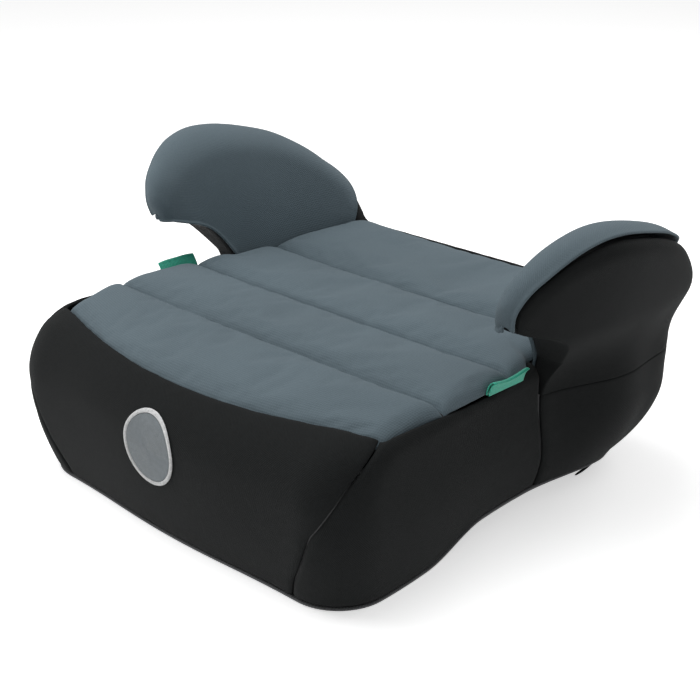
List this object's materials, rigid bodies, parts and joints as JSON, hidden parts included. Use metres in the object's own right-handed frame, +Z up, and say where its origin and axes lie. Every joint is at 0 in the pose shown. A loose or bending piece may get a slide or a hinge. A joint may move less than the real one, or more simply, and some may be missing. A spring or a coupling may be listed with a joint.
{
  "type": "booster seat",
  "caption": "Backless booster seat: ribbed plastic shell with hooked armrests, foam pads and a fitted two-colour fabric cover with a quilted seat.",
  "frame": {"origin": "middle of the footprint, on the floor plane under the shell", "axes": "+Z up, the rolled front edge faces -Y, +X is the right armrest seen from the front"},
  "size_m": [0.456, 0.3906, 0.2332],
  "materials": {
    "shell_plastic": "fine texture",
    "hook_plastic": "satin",
    "screw_steel": "zinc plated",
    "foam": "open-cell polyurethane foam",
    "seat_fabric": "blue-grey smooth knit",
    "body_fabric": "near-black woven polyester",
    "hem_binding": "dark grey bound hem",
    "tag_ribbon": "teal-green grosgrain ribbon",
    "patch_fabric": "grey felt, blank",
    "patch_thread": "pale satin stitching"
  },
  "bodies": {
    "root": {"base_shell": "shell_plastic", "armrest_right": "shell_plastic", "armrest_left": "shell_plastic", "armrest_screws": "screw_steel", "armrest_foam_right": "foam", "armrest_foam_left": "foam", "seat_panel_front": "seat_fabric", "seat_panel_mid_front": "seat_fabric", "seat_panel_mid_rear": "seat_fabric", "seat_panel_rear": "seat_fabric", "seat_foam": "foam", "front_panel": "body_fabric", "side_panel_right": "body_fabric", "side_panel_left": "body_fabric", "rear_panel": "body_fabric", "armrest_inner_panel_right": "seat_fabric", "armrest_inner_panel_left": "seat_fabric", "armrest_outer_panel_right": "body_fabric", "armrest_outer_panel_left": "body_fabric", "cover_hem": "hem_binding", "hem_hooks": "hook_plastic", "belt_tag_right": "tag_ribbon", "belt_tag_left": "tag_ribbon", "front_patch": "patch_fabric", "patch_border": "patch_thread"}
  },
  "joints": []
}
